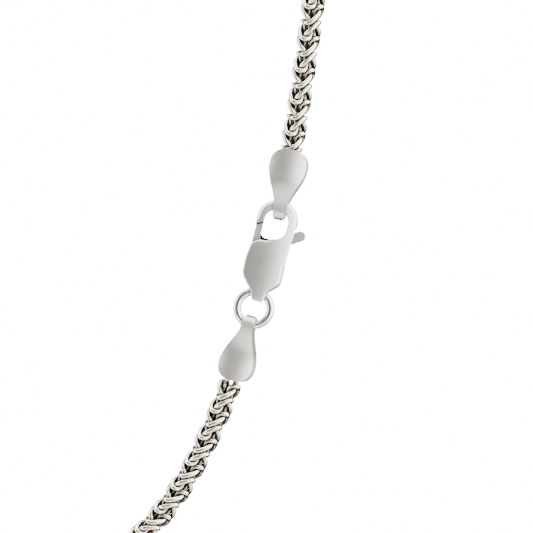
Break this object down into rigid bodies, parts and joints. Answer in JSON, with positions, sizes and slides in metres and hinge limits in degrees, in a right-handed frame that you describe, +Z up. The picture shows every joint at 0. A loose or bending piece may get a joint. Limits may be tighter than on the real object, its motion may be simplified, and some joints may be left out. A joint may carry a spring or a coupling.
{
  "type": "wheat chain necklace with lobster clasp",
  "caption": "Closed wheat chain necklace hanging as a loop, with folded end caps, a jump ring and a lobster clasp whose lever opens.",
  "frame": {"origin": "inner side of the chain at the top of the loop, where the necklace hangs", "axes": "+Z up, the loop lies in the XZ plane, its front and the clasp's face look along -Y, the clasp is on the +X leg"},
  "size_m": [0.0748, 0.0034, 0.1999],
  "materials": {
    "chain_wire": "polished white metal wire, darker in the recesses",
    "polished_sheet": "soft polished white metal sheet",
    "clasp_metal": "soft polished cast white metal",
    "ring_wire": "polished white metal wire"
  },
  "bodies": {
    "necklace": {"wheat_chain": "chain_wire", "end_cap_upper": "polished_sheet", "end_cap_lower": "polished_sheet", "clasp_body": "clasp_metal", "clasp_pin": "clasp_metal", "jump_ring": "ring_wire"},
    "lever": {"clasp_lever": "clasp_metal"}
  },
  "joints": [
    {"name": "lever_hinge", "type": "hinge", "parent": "necklace", "child": "lever", "pos_m": [0.022, 0, -0.16349], "axis": [0, 1, 0], "range_deg": [0, 22], "stiffness_Nm_per_rad": 0.002, "springref_deg": -11.46}
  ]
}
